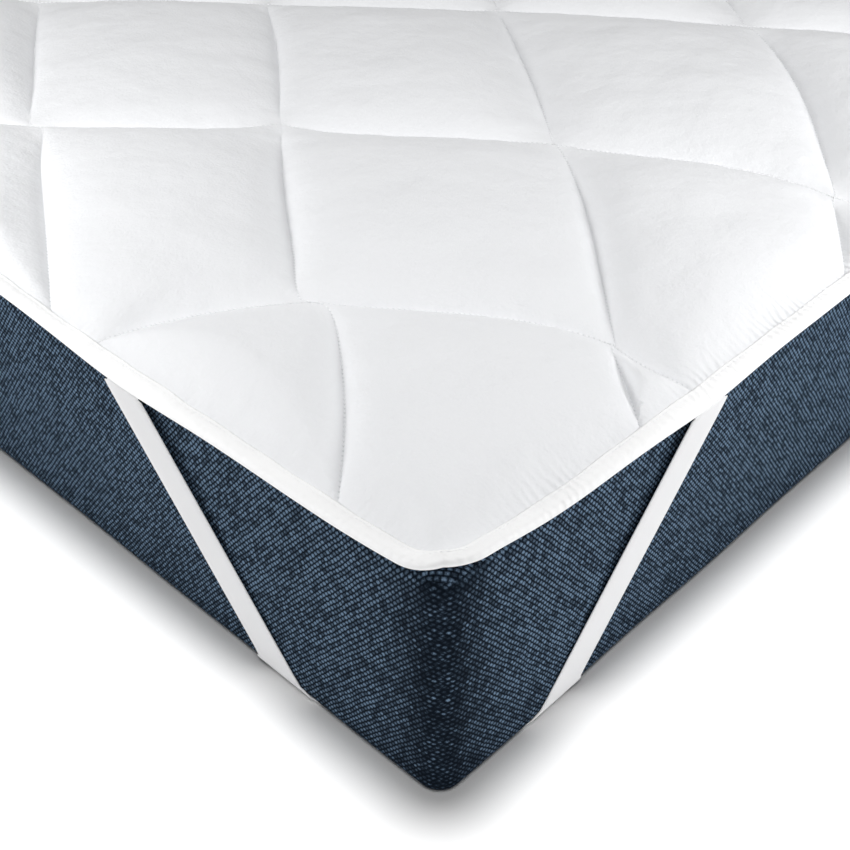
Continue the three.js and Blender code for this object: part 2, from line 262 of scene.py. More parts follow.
bend_i = np.zeros((*grid_i.shape, 2))
bend_j = np.zeros((*grid_i.shape, 2))
bend_i[..., 0] = seam_wander * np.sin(3.1 * grid_i + 1.3 * grid_j)
bend_j[..., 0] = seam_wander * np.sin(3.1 * grid_i + 1.3 * grid_j + 2)
for table, known in ((bend_i, bends_toward_i), (bend_j, bends_toward_j)):
    for (i, j), bend in known.items():
        table[i - first_i, j - first_j] = bend
jog = 4.0 * np.sin(2.7 * grid_i - 1.9 * grid_j)
for (i, j), step in jogs.items():
    jog[i - first_i, j - first_j] = step
cell_i = float(np.hypot(*seam_step_i))
cell_j = float(np.hypot(*seam_step_j))
print(f"cells are about {cell_i:.0f} x {cell_j:.0f} mm, {crossings.shape[:2]} crossings")


# %% Follow a seam, and fill a cell between four seams
def aside(distance):
    """How much of a sidestep is left at a distance in mm from a crossing."""
    return (1 - np.exp(-distance / 3)) * np.exp(-((distance / 60) ** 2))


def seam_point(i, j, toward, share):
    """Points on the seams that leave crossings (i, j), at shares of their length."""
    share = np.asarray(share, float)
    from_i, from_j = i - first_i, j - first_j
    step_i, step_j = (1, 0) if toward == "i" else (0, 1)
    start = crossings[from_i, from_j]
    run = crossings[from_i + step_i, from_j + step_j] - start
    bow, lean = np.moveaxis((bend_i if toward == "i" else bend_j)[from_i, from_j], -1, 0)
    side = np.stack([run[..., 1], -run[..., 0]], -1)
    length = np.hypot(run[..., 0], run[..., 1])
    side /= length[..., None]
    sway = (bow + lean * (2 * share - 1)) * 4 * share * (1 - share)
    if toward == "i":
        from_start, from_end = share * length / MM, (1 - share) * length / MM
        sway = sway - jog[from_i, from_j] / 2 * aside(from_start)
        sway = sway + jog[from_i + 1, from_j] / 2 * aside(from_end)
    return start + run * share[..., None] + side * (sway * MM)[..., None]


def cell_point(i, j, u, v):
    """Points inside cells, blended from the four seams round each."""
    u, v = np.asarray(u, float), np.asarray(v, float)
    a, b = u[..., None], v[..., None]
    from_i, from_j = i - first_i, j - first_j
    near, far = crossings[from_i, from_j], crossings[from_i, from_j + 1]
    near_end, far_end = crossings[from_i + 1, from_j], crossings[from_i + 1, from_j + 1]
    across = (1 - b) * seam_point(i, j, "i", u) + b * seam_point(i, j + 1, "i", u)
    down = (1 - a) * seam_point(i, j, "j", v) + a * seam_point(i + 1, j, "j", v)
    corners = (1 - a) * ((1 - b) * near + b * far) + a * ((1 - b) * near_end + b * far_end)
    return across + down - corners


def lattice_place(points, i, j, u, v):
    """Which cell each point is in and where, from a guess near it (Newton's way)."""
    i, j, u, v = i.copy(), j.copy(), u.copy(), v.copy()
    small, rounds = 1e-4, 12
    for _ in range(rounds):
        here = cell_point(i, j, u, v)
        by_u = (cell_point(i, j, u + small, v) - here) / small
        by_v = (cell_point(i, j, u, v + small) - here) / small
        miss = points - here
        det = by_u[:, 0] * by_v[:, 1] - by_u[:, 1] * by_v[:, 0]
        u += np.clip((miss[:, 0] * by_v[:, 1] - miss[:, 1] * by_v[:, 0]) / det, -0.3, 0.3)
        v += np.clip((by_u[:, 0] * miss[:, 1] - by_u[:, 1] * miss[:, 0]) / det, -0.3, 0.3)
        for cell, share, first, cells in ((i, u, first_i, cells_i), (j, v, first_j, cells_j)):
            moved = np.clip(cell + np.floor(share).astype(int), first, first + cells - 1)
            share -= moved - cell
            cell[:] = moved
    return i, j, np.clip(u, 0, 1), np.clip(v, 0, 1)


# %% [markdown]
# ## The edge
#
# The topper's edge doesn't lie flat. It curls up at the corners, where nothing
# presses on it, and the elastic bands pull it down where they are sewn on. All
# pieces at the edge share these two functions, so they move together.

# %% Shape the edge's rise and fall
corner_radius = 40 * MM
leg_tops = {"long": 313 * MM, "short": 272 * MM}
edge_levels = {
    "long": {"rest": 0, "lift": (8, 0, 70), "dip": (6, 75), "middle": (8, 330, 150)},
    "short": {"rest": -1.5, "lift": (15, 15, 70), "dip": (6, 65), "middle": (4, 400, 150)},
}
droop_reach = 20 * MM
lift_reach = 90 * MM


def hump(distance, reach):
    return np.exp(-((distance / reach) ** 2))


def edge_height(along, side):
    """An edge's level by distance from the corner: curled up near the corner,
    pulled down at a band, and riding higher towards the middle of the side."""
    levels = edge_levels[side]
    along = along / MM
    curl, curl_place, curl_reach = levels["lift"]
    depth, dip_reach = levels["dip"]
    rise, rise_from, rise_reach = levels["middle"]
    loose = curl * hump(along - curl_place, curl_reach)
    pulled = depth * hump(along - (leg_tops[side] + overhang) / MM, dip_reach)
    riding = rise * (1 - hump(np.maximum(0, along - rise_from), rise_reach))
    return (levels["rest"] + loose - pulled + riding) * MM


def fade(height, inset):
    reach = np.where(height < 0, droop_reach, lift_reach)
    return height * np.maximum(0, 1 - inset / reach) ** 2


def lift(x, y):
    """How far the topper stands above the mattress's top at a place."""
    from_side = np.maximum(0, half_width - np.abs(x))
    from_end = np.maximum(0, half_length - np.abs(y))
    rounded_off = np.maximum(0, np.minimum(from_side, from_end) - inset_of(x, y))
    by_side = fade(edge_height(from_end, "long"), from_side - rounded_off)
    by_end = fade(edge_height(from_side, "short"), from_end - rounded_off)
    both = (np.maximum(by_side, 0) ** 4 + np.maximum(by_end, 0) ** 4) ** 0.25
    return np.where((by_side > 0) & (by_end > 0), both, by_side + by_end)


def places_round(spacing):
    """Feet and outward normals round the topper, evenly spaced."""
    arc_steps = max(4, round(corner_radius * math.pi / 2 / spacing))
    return walk_round(half_width, half_length, corner_radius, arc_steps, spacing)


def ring_at(feet, normals, inset):
    inset = np.broadcast_to(inset, len(feet))
    return feet + normals * (corner_radius - inset)[:, None]


def inset_of(x, y):
    """How far a place is from the topper's edge, inwards."""
    from_side = half_width - np.abs(x)
    from_end = half_length - np.abs(y)
    in_corner = (from_side < corner_radius) & (from_end < corner_radius)
    to_centre = np.hypot(corner_radius - from_side, corner_radius - from_end)
    return np.where(in_corner, corner_radius - to_centre, np.minimum(from_side, from_end))


# %% [markdown]
# ## The quilted pad
#
# A quilted cell is a little pillow: the cloth leaves the seam steeply and then
# levels out over the wadding. Near the border the wadding thins, and the face
# comes down to the tape in a rounded crown.
#
# A regular grid can't follow seams that wander and meet a border on a slant.
# So the plan is cut into triangles by a constrained triangulation, with the
# seams and the lines round the border as edges that it has to keep, and each
# point then gets its height from one formula.

# %% Give the pad's face its height
seam_height = 6 * MM
puff = 23 * MM
tape_width = 14 * MM
border_low, crown_rise, crown_reach = 6.5 * MM, 32 * MM, 40 * MM
crown_start, soft_turn = 7 * MM, 1.6 * MM
gather_height = 0.7 * MM
uneven_filling = ((1.3 * MM, 0.19, 5), (0.5 * MM, 0.07, 6))  # height, length in m, seed


def swell(share, length, reach):
    """How full the wadding is across a cell, from 0 at a seam to 1. "Reach" is
    how far in mm the cloth takes to level out."""
    from_seam = np.minimum(share, 1 - share) * length
    steep = 1 - np.exp(-from_seam / reach)
    round_over = 1 - np.abs(2 * share - 1) ** 2.4
    return 0.5 * steep + 0.5 * round_over


# cells where the wadding has shifted away from one side: (i, j, side)
slack_sides = [
    (1, -1, 1), (0, -1, 1), (-1, -1, 1), (1, 0, 1),
    (0, 1, 0), (1, 2, 0), (0, 2, 0), (2, -1, 1),
]
slack_reach, full_reach, reach_wander = 27, 21, 4


def flank_reach(i, j, v):
    """A slack side slopes over a longer way than a well-filled one."""
    side = (v > 0.5).astype(int)
    reach = full_reach + reach_wander * np.sin(4.3 * i + 2.9 * j + 1.7 * side)
    for slack_i, slack_j, slack_side in slack_sides:
        reach = np.where((i == slack_i) & (j == slack_j) & (side == slack_side), slack_reach, reach)
    return reach


def ripples(x, y, wavelength, seed, count=7):
    """Soft uneven waves, about 1 high, that never repeat on the bed."""
    chance = np.random.default_rng(seed)
    total = np.zeros_like(x)
    for _ in range(count):
        angle = chance.uniform(0, 2 * math.pi)
        length = wavelength * chance.uniform(0.7, 1.5)
        phase = chance.uniform(0, 2 * math.pi)
        along = x * math.cos(angle) + y * math.sin(angle)
        total += np.sin(2 * math.pi * along / length + phase)
    return total / math.sqrt(count)


def gathers(run, from_seam, line):
    """Little folds that stand square to a seam and die out in the cell. Each
    seam's folds start at a scattered phase, worked out from its number."""
    start = np.modf(np.sin(line * 12.9898) * 43758.5453)[0] * 6.28
    wave = 0.5 * np.sin(run / (6.1 * MM) + start)
    wave += 0.4 * np.sin(run / (4.2 * MM) + 2 * start)
    wave += 0.45 * np.sin(run / (10.3 * MM) - start)
    return wave * np.exp(-from_seam / (20 * MM)) * (1 - np.exp(-from_seam / (5 * MM)))


def pad_height(x, y, i, j, u, v):
    """The face's height over the mattress at places given both ways."""
    filling = 1 + 0.1 * np.sin(2.1 * i + 3.7 * j)
    across = swell(v, cell_j, flank_reach(i, j, v))
    height = seam_height + puff * filling * swell(u, cell_i, full_reach) * across
    to_i = np.minimum(u, 1 - u) * cell_i * MM
    to_j = np.minimum(v, 1 - v) * cell_j * MM
    height += gather_height * gathers((j + v) * cell_j * MM, to_i, np.round(i + u))
    height += gather_height * gathers((i + u) * cell_i * MM, to_j, np.round(j + v) + 40)
    away = 1 - np.exp(-np.minimum(to_i, to_j) / (30 * MM))
    height += away * sum(high * ripples(x, y, *kind) for high, *kind in uneven_filling)
    past_tape = np.maximum(inset_of(x, y) - tape_width, 0)
    eased = past_tape**2 / (past_tape + crown_start)
    crown = border_low + crown_rise * (1 - np.exp(-eased / crown_reach))
    # the lower of the two, with a soft turn where they meet
    lower = -soft_turn * np.logaddexp(-height / soft_turn, -crown / soft_turn)
    return lower + 0.4 * MM


# %% Lay out the pad's plan
steps_u, steps_v, gather = 50, 40, 0.62
edge_insets = [3.5, 8, 12.5, 14.2, 16, 18.5, 21.5, 25, 29]
edge_spacing = 4.6 * MM


def graded(steps):
    """Shares from 0 to 1 that gather at both ends, where a seam bends the cloth."""
    even_steps = np.linspace(0, 1, steps + 1)
    return even_steps - gather * np.sin(2 * math.pi * even_steps) / (2 * math.pi)


def closed(ids):
    """The edges of a closed line of points."""
    return np.stack([ids, np.roll(ids, -1)], 1)


def triangulate(points, edges):
    """Triangles between flat points, with all these edges kept."""
    places = [Vector(point) for point in points.tolist()]
    return delaunay_2d_cdt(places, edges.tolist(), [], 0, 1e-7, True)


shares_u, shares_v = graded(steps_u), graded(steps_v)
total_u, total_v = cells_i * steps_u, cells_j * steps_v
line_u = np.arange(total_u + 1)
line_v = np.arange(total_v + 1)
at_i = first_i + np.minimum(line_u // steps_u, cells_i - 1)
at_j = first_j + np.minimum(line_v // steps_v, cells_j - 1)
at_u = shares_u[line_u - (at_i - first_i) * steps_u]
at_v = shares_v[line_v - (at_j - first_j) * steps_v]
plan_i, plan_j = np.meshgrid(at_i, at_j, indexing="ij")
plan_u, plan_v = np.meshgrid(at_u, at_v, indexing="ij")
plan = cell_point(plan_i, plan_j, plan_u, plan_v)
plan_inset = inset_of(plan[..., 0], plan[..., 1])

on_seam = (line_u % steps_u == 0)[:, None] | (line_v % steps_v == 0)[None, :]
last_ring = edge_insets[-1] * MM
kept = (plan_inset > last_ring + 2.5 * MM) | (on_seam & (plan_inset > -8 * MM))
index = np.full(plan.shape[:2], -1)
index[kept] = np.arange(kept.sum())

index_lines = [*index[::steps_u], *index.T[::steps_v]]
seam_edges = np.concatenate([np.stack([line[:-1], line[1:]], 1) for line in index_lines])
seam_edges = seam_edges[(seam_edges >= 0).all(1)]

feet, normals = places_round(edge_spacing)
rings = [ring_at(feet, normals, inset * MM) for inset in edge_insets]
grid_points = plan[kept]
plan_points = np.concatenate([grid_points, *rings])
ring_ids = len(grid_points) + np.arange(len(rings) * len(feet)).reshape(len(rings), -1)
all_edges = np.concatenate([seam_edges, *(closed(ids) for ids in ring_ids)])

flat = triangulate(plan_points, all_edges)
flat_points = np.array([tuple(p) for p in flat[0]])
flat_faces = np.array(flat[2])
middle = flat_points[flat_faces].mean(1)
inside = inset_of(middle[:, 0], middle[:, 1]) > edge_insets[0] * MM
flat_faces = flat_faces[inside]
print(f"plan: {len(flat_points)} points, {len(flat_faces)} triangles")

# %% Find each point's cell
known = -np.ones(len(flat_points), int)
for place, sources in enumerate(flat[3]):
    inner = [source for source in sources if source < len(grid_points)]
    if inner:
        known[place] = inner[0]
cell_table = [table[kept] for table in (plan_i, plan_j, plan_u, plan_v)]
found = [table[np.maximum(known, 0)] for table in cell_table]
unknown = np.flatnonzero(known < 0)

all_sites = plan.reshape(-1, 2)
near_border = np.flatnonzero(np.abs(plan_inset.ravel() - 0.02) < 0.045)
sites = KDTree(len(near_border))
for place in near_border:
    sites.insert((*all_sites[place], 0), int(place))
sites.balance()
guess = [sites.find((*flat_points[place], 0))[1] for place in unknown]
guessed = [table.ravel()[guess] for table in (plan_i, plan_j, plan_u, plan_v)]
solved = lattice_place(flat_points[unknown], *guessed)
for table, values in zip(found, solved):
    table[unknown] = values
site_i, site_j, site_u, site_v = found
landed = cell_point(site_i, site_j, site_u, site_v)
print(f"cell places are right to {np.abs(landed - flat_points).max() / MM:.2f} mm")

# %% Raise the face and close the pad below
face_x, face_y = flat_points.T
face_z = pad_height(face_x, face_y, site_i, site_j, site_u, site_v)
face_inset = inset_of(face_x, face_y)
under_tape = face_inset < tape_width
face_z[under_tape] = border_low
face_z += rest_height + lift(face_x, face_y)
pad_points = np.column_stack([flat_points, face_z])

used = np.unique(flat_faces)
renumber = -np.ones(len(flat_points), int)
renumber[used] = np.arange(len(used))
pad_points = pad_points[used]
pad_faces = renumber[flat_faces]

border = []
for place, sources in enumerate(flat[3]):
    first_ring = [s - len(grid_points) for s in sources if 0 <= s - len(grid_points) < len(feet)]
    if first_ring:
        border.append((first_ring[0], renumber[place]))
border = [place for _, place in sorted(border)]
print(f"border: {len(border)} of {len(feet)} places")


# %% Sew the pad shut underneath
def ring_points(feet, normals, inset, height):
    """A ring of points round the topper, at an inset and a height over the mattress."""
    flat_ring = ring_at(feet, normals, inset)
    up = height + rest_height + lift(flat_ring[:, 0], flat_ring[:, 1])
    return np.column_stack([flat_ring, up])


# the border that lies inside the folded tape, as (inset, height) in mm
tongue = [(2.2, 6.0), (1.5, 4.6), (1.5, 3.4), (3.5, 1.5), (14.3, 1.5), (14.3, 0.0), (26, 0.0)]
underside_inset = 40 * MM
points = [pad_points]
faces = [pad_faces]
last = np.array(border)
total = len(pad_points)
for inset, height in [*tongue, (underside_inset / MM, 0.0)]:
    points.append(ring_points(feet, normals, inset * MM, height * MM))
    ring = total + np.arange(len(feet))
    total += len(feet)
    faces.append(band_faces(last, ring))
    last = ring

cap_step = 40 * MM
cap_x = np.arange(-half_width, half_width, cap_step)
cap_y = np.arange(-half_length, half_length, cap_step)
cap_plan = np.stack(np.meshgrid(cap_x, cap_y), -1).reshape(-1, 2)
cap_plan = cap_plan[inset_of(*cap_plan.T) > underside_inset + 8 * MM]
rim = ring_at(feet, normals, underside_inset)
cap = triangulate(np.concatenate([rim, cap_plan]), closed(np.arange(len(rim))))
cap_faces = np.array(cap[2])[:, ::-1]
cap_up = rest_height + lift(*cap_plan.T)
points.append(np.column_stack([cap_plan, cap_up]))
numbers = np.concatenate([last, total + np.arange(len(cap_plan))])
order = np.array([source[0] for source in cap[3]])
faces.append(numbers[order[cap_faces]])
all_faces = [face for block in faces for face in block.tolist()]
pad = mesh_object("quilted_pad", np.concatenate(points), all_faces)
pad.data.set_sharp_from_angle(angle=math.radians(30))

place_of = np.zeros((len(pad.data.vertices), 2))
place_of[: len(pad_points), 0] = (site_i + site_u)[used]
place_of[: len(pad_points), 1] = (site_j + site_v)[used]
add_uv(pad, "quilt", place_of)
print(f"pad: {triangle_count(pad)} triangles")

# %% [markdown]
# ## The edge tape
#
# The tape is one long strip, folded over the pad's border and sewn through
# once. It could be a curve with a bevel, but its width has to stay level while
# the edge curls, so it is lofted: the same rounded section goes round the bed,
# and the stitches pull a small dimple into it every few millimetres.

# %% Loft the tape
dimple_pitch, dimple_depth, dimple_reach = 7.6 * MM, 0.38 * MM, 2.4 * MM
tape_sway, tape_swell, hem_wander = 0.35 * MM, 0.22 * MM, 0.45 * MM
stitch_inset = 11.4 * MM
# the folded strip's section, as (inset, height) in mm: its outer face over the
# top, round the nose and back below, and then its inner face
tape_section = [
    (14.0, 7.4), (13.2, 7.75), (12.4, 7.7), (11.4, 7.5), (10.4, 7.75), (8.6, 8.1),
    (6.2, 8.3), (3.8, 8.2), (1.9, 7.6), (0.6, 6.4), (0.0, 4.7), (0.0, 3.2),
    (0.7, 1.6), (2.0, 0.6), (4.0, 0.1), (8.0, 0.0), (14.0, 0.0), (14.0, 0.9),
    (8.0, 1.0), (4.2, 1.2), (1.5, 2.7), (1.2, 4.6), (2.0, 6.2), (4.4, 7.1),
    (9.0, 6.9), (11.4, 6.7), (14.0, 6.75),
]
tape_feet, tape_normals = places_round(2.6 * MM)
tape_nose = ring_at(tape_feet, tape_normals, 0)
tape_step = np.hypot(*(np.roll(tape_nose, -1, 0) - tape_nose).T)
tape_run = np.concatenate([[0], np.cumsum(tape_step)[:-1]])
tape_length = float(tape_step.sum())
dimples = max(1, round(tape_length / dimple_pitch))
phase = 2 * math.pi * dimples * tape_run / tape_length
unevenness = 0.55 + 0.45 * ripples(*tape_nose.T, 0.11, 11)
sway = tape_sway * ripples(*tape_nose.T, 0.06, 12)
tape_points = []
last_outer = 16
for number, (inset, height) in enumerate(tape_section):
    outer = number <= last_outer
    near_stitch = math.exp(-(((inset * MM - stitch_inset) / dimple_reach) ** 2))
    top_side = height > 6.5
    dimple = dimple_depth * unevenness * near_stitch * (1 + np.cos(phase)) / 2 if top_side else 0
    swell_up = tape_swell * ripples(*tape_nose.T, 0.045, 13) if outer and top_side else 0
    hem = hem_wander * near_stitch * np.sin(phase) * unevenness if top_side else 0
    side = np.maximum(inset * MM + sway * (inset / 14) + hem * (inset / 14), 0)
    tape_points.append(ring_points(tape_feet, tape_normals, side, height * MM - dimple + swell_up))
count = len(tape_feet)
tape_faces = []
for number in range(len(tape_section)):
    after = (number + 1) % len(tape_section)
    first, second = number * count + np.arange(count), after * count + np.arange(count)
    tape_faces.extend(band_faces(first, second)[:, ::-1].tolist())
tape = mesh_object("edge_tape", np.concatenate(tape_points), tape_faces)
print(f"tape: {tape_length:.2f} m long, {triangle_count(tape)} triangles")

# %% [markdown]
# ## The corner bands
#
# Each band is one piece of flat elastic. It is sewn under the tape, comes down
# one wall on a slant, turns under the mattress's rounded foot, crosses below
# the corner and goes up the other wall. A cloth simulation would only find the
# straight line that tight elastic takes anyway, so its centre line is worked
# out and the flat section is carried along it.

# %% Carry the elastic round each corner
strap_width, strap_thickness = 36 * MM, 1.2 * MM
sewn, bend_inset, bend_radius = 6 * MM, 5 * MM, 2.5 * MM
floor_gap = 0.3 * MM
foot_radius = 12 * MM
bend_stations, slant_stations, foot_stations, under_stations = 6, 26, 10, 12
legs = {
    "long": {"foot": 166 * MM, "under": 146 * MM},
    "short": {"foot": 128 * MM, "under": 109 * MM},
}


def leg_line(side):
    """Stations down one leg as (out from the wall, along it, z), on the inner face."""
    leg, leg_top = legs[side], leg_tops[side]
    height = float(edge_height(leg_top + overhang, side))

    def tape_under(inset):
        nose = 3 * MM
        share = (inset - nose) / (tape_width - nose)
        ends = fade(np.array([height, height]), np.array([nose, tape_width]))
        return rest_height + ends[0] + (ends[1] - ends[0]) * share

    drop = gap + strap_thickness
    sewn_inset = bend_inset + sewn
    start = (overhang - sewn_inset, leg_top, float(tape_under(sewn_inset)) - drop)
    bend_z = float(tape_under(bend_inset)) - drop - 0.5 * MM
    out = overhang - bend_inset
    stations = [start, (out - 2.5 * MM, leg_top, (start[2] + bend_z) / 2)]
    for turn in np.linspace(0, math.pi / 2, bend_stations):
        along = leg_top - 1 * MM * turn / (math.pi / 2)
        z = bend_z - bend_radius * (1 - math.cos(turn))
        stations.append((out + bend_radius * math.sin(turn), along, z))
    off_wall = gap + 0.05 * MM
    underside = floor_gap + strap_thickness
    top_out, top_along, top_z = stations[-1]
    for share in np.linspace(0, 1, slant_stations)[1:-1]:
        along = top_along + (leg["foot"] - top_along) * share
        z = top_z + (foot_radius - top_z) * share
        stations.append((top_out + (off_wall - top_out) * share, along, z))
    for share in np.linspace(0, 1, foot_stations):
        turn = share * math.pi / 2
        out = -foot_radius + (foot_radius + off_wall) * math.cos(turn)
        along = leg["foot"] + (leg["under"] - leg["foot"]) * share
        z = foot_radius - (foot_radius - underside) * math.sin(turn)
        stations.append((out, along, z))
    return np.array(stations)


# the section, as (share of the half width, depth from the inner face)
round_edge = 0.45 * MM / (strap_width / 2)
strap_section = [
    (1 - round_edge, 0), (-1 + round_edge, 0), (-1, 0.35 * MM), (-1, 0.85 * MM),
    (-1 + round_edge, strap_thickness), (-0.5, strap_thickness), (0, strap_thickness),
    (0.5, strap_thickness), (1 - round_edge, strap_thickness), (1, 0.85 * MM), (1, 0.35 * MM),
]


def carry_section(line, section, slack=0.0):
    """Rings of a section along a leg, with each place on it as above."""
    before = line[np.maximum(np.arange(len(line)) - 1, 0)]
    after = line[np.minimum(np.arange(len(line)) + 1, len(line) - 1)]
    run = np.hypot(after[:, 0] - before[:, 0], after[:, 2] - before[:, 2])
    slant = np.hypot(run, after[:, 1] - before[:, 1]) / run
    normal_out = -(after[:, 2] - before[:, 2]) / run
    normal_z = (after[:, 0] - before[:, 0]) / run
    half = strap_width / 2 * slant + slack
    rings = []
    for share, depth in section:
        out, up = line[:, 0] + normal_out * depth, line[:, 2] + normal_z * depth
        rings.append(np.column_stack([out, line[:, 1] + share * half, up]))
    return np.stack(rings, 1)


def on_wall(rings, side, sign_x, sign_y):
    out, along, up = rings[..., 0], rings[..., 1], rings[..., 2]
    if side == "long":
        place = (sign_x * (bed_half_width + out), sign_y * (bed_half_length - along), up)
    else:
        place = (sign_x * (bed_half_width - along), sign_y * (bed_half_length + out), up)
    return np.stack(place, -1)


bed_corners = {
    "foot_left": (-1, -1),
    "foot_right": (1, -1),
    "head_left": (-1, 1),
    "head_right": (1, 1),
}


def make_strap(corner):
    sign_x, sign_y = bed_corners[corner]
    walls = []
    for side in ("long", "short"):
        rings = carry_section(leg_line(side), strap_section)
        walls.append(on_wall(rings, side, sign_x, sign_y))
    down, up = walls[0], walls[1][::-1]
    shares = np.linspace(0, 1, under_stations)[1:-1]
    across = [down[-1] + (up[0] - down[-1]) * share for share in shares]
    rings = np.concatenate([down, np.array(across), up])
    if sign_x * sign_y < 0:
        rings = rings[:, ::-1]
    faces = tube_faces(*rings.shape[:2])
    strap = mesh_object(f"elastic_{corner}", rings.reshape(-1, 3), faces)
    middle_line = rings.mean(1)
    steps = np.linalg.norm(np.diff(middle_line, axis=0), axis=1)
    run = np.concatenate([[0], np.cumsum(steps)])
    width_at = np.array([share for share, _ in strap_section]) * strap_width / 2
    if sign_x * sign_y < 0:
        width_at = width_at[::-1]
    uv = np.stack(np.broadcast_arrays(run[:, None], width_at[None, :]), -1).reshape(-1, 2)
    add_uv(strap, "band", uv)
    return strap, float(run[-1])


straps = {corner: make_strap(corner) for corner in bed_corners}
for corner, (strap, length) in straps.items():
    print(f"{corner}: {length:.3f} m of elastic, {triangle_count(strap)} triangles")

# %% [markdown]
# ## The mattress
#
# A plain foam mattress in a coarse woven cover: a box with rounded corners and
# edges, a little fuller in the middle of each wall. The tight bands press a
# shallow groove into its foot, which a boolean cuts with a slightly wider band.

# %% Build the mattress
corner_round, edge_round = 20 * MM, 12 * MM
wall_bulge, wall_inset, most_bulge, wall_ripple = 1.2 * MM, 0.6 * MM, 0.2 * MM, 0.5 * MM


def mattress_rings():
    turns = np.linspace(0, math.pi / 2, 9)
    profile = [(edge_round * (1 - math.sin(t)), edge_round * (1 - math.cos(t))) for t in turns]
    wall = np.linspace(edge_round, bed_height - edge_round, 20)[1:-1]
    profile += [(0, z) for z in wall]
    for t in turns:
        up = bed_height - edge_round * (1 - math.sin(t))
        profile.append((edge_round * (1 - math.cos(t)), up))
    feet, normals = walk_round(bed_half_width, bed_half_length, corner_round, 18, 16 * MM)
    rings = []
    for inset, z in profile:
        full = wall_bulge * math.sin(math.pi * min(1, max(0, z / bed_height)))
        ring = feet + normals * (corner_round - inset)
        ripple = wall_ripple * ripples(ring[:, 0] + 0.3 * z, ring[:, 1] - 0.2 * z, 0.24, 21)
        bulge = np.minimum(full + ripple - wall_inset, most_bulge)
        ring = ring + normals * bulge[:, None]
        rings.append(np.column_stack([ring, np.full(len(ring), z)]))
    return rings


rings = mattress_rings()
faces = tube_faces(len(rings), len(rings[0]))
mattress = mesh_object("mattress_cover", np.concatenate(rings), faces)


# %% Press the bands' grooves into it
def groove_cutter(corner):
    """A wider, deeper band over the folded part of an elastic, to cut with."""
    sign_x, sign_y = bed_corners[corner]
    slack, inner, outer = 0.8 * MM, -gap - 0.1 * MM, 6 * MM
    bodies = []
    for side in ("long", "short"):
        line = leg_line(side)[-foot_stations:]
        ring = carry_section(line, ((1, inner), (-1, inner), (-1, outer), (1, outer)), slack)
        bodies.append(on_wall(ring, side, sign_x, sign_y))
    rings = np.concatenate([bodies[0], bodies[1][::-1]])
    faces = tube_faces(len(rings), 4)
    if sign_x * sign_y < 0:
        faces = [face[::-1] for face in faces]
    return mesh_object(f"cutter_{corner}", rings.reshape(-1, 3), faces)


for corner in bed_corners:
    cutter = groove_cutter(corner)
    cut = mattress.modifiers.new("groove", "BOOLEAN")
    cut.operation, cut.solver, cut.object = "DIFFERENCE", "MANIFOLD", cutter
    evaluated = mattress.evaluated_get(bpy.context.evaluated_depsgraph_get())
    pressed = bpy.data.meshes.new_from_object(evaluated)
    mattress.modifiers.clear()
    mattress.data = pressed
    bpy.data.objects.remove(cutter)
mattress.data.materials.clear()
mattress.data.shade_smooth()
mattress.data.set_sharp_from_angle(angle=math.radians(38))
print(f"mattress: {triangle_count(mattress)} triangles")


# %% [markdown]
# ## The stitches
#
# A lockstitch shows as a row of short dashes of thread. There are thousands,
# all alike, so Geometry Nodes lay them: a seam's line is resampled at the
# stitch length, a small grain of thread goes on each point, turned along the
# line, and the result is made a plain mesh.


# %% Build the stitching tree
def stitch_tree():
    tree = bpy.data.node_groups.new("stitches", "GeometryNodeTree")
    face = tree.interface
    face.new_socket("Geometry", in_out="INPUT", socket_type="NodeSocketGeometry")
    for name in ("Pitch", "Stitch Length", "Thread"):
        face.new_socket(name, in_out="INPUT", socket_type="NodeSocketFloat")
    face.new_socket("Seed", in_out="INPUT", socket_type="NodeSocketInt")
    face.new_socket("Material", in_out="INPUT", socket_type="NodeSocketMaterial")
    face.new_socket("Geometry", in_out="OUTPUT", socket_type="NodeSocketGeometry")
    given = tree.nodes.new("NodeGroupInput").outputs
    result = tree.nodes.new("NodeGroupOutput")
    line = add_node(tree, "GeometryNodeMeshToCurve", Mesh=given["Geometry"])
    by_length = {"Curve": line.outputs[0], "Length": given["Pitch"]}
    points = add_node(tree, "GeometryNodeResampleCurve", {"mode": "LENGTH"}, **by_length)
    way = add_node(tree, "GeometryNodeInputTangent").outputs[0]
    turn = add_node(tree, "FunctionNodeAlignRotationToVector", {"axis": "Z"}, Vector=way)
    grain = add_node(tree, "GeometryNodeMeshUVSphere", Segments=5, Rings=3, Radius=0.5)
    spread = {"_2": 0.85, "_3": 1.1, "Seed": given["Seed"]}
    uneven = add_node(tree, "FunctionNodeRandomValue", {"data_type": "FLOAT"}, **spread)
    length = calc("MULTIPLY", given["Stitch Length"], uneven.outputs[1])
    width = given["Thread"]
    size = add_node(tree, "ShaderNodeCombineXYZ", X=width, Y=width, Z=length)
    laid = add_node(
        tree,
        "GeometryNodeInstanceOnPoints",
        Points=points.outputs[0],
        Instance=grain.outputs[0],
        Rotation=turn.outputs[0],
        Scale=size.outputs[0],
    )
    real = add_node(tree, "GeometryNodeRealizeInstances", Geometry=laid.outputs[0])
    cloth = given["Material"]
    coloured = add_node(tree, "GeometryNodeSetMaterial", Geometry=real.outputs[0], Material=cloth)
    tree.links.new(coloured.outputs[0], result.inputs[0])
    return tree


stitching = stitch_tree()


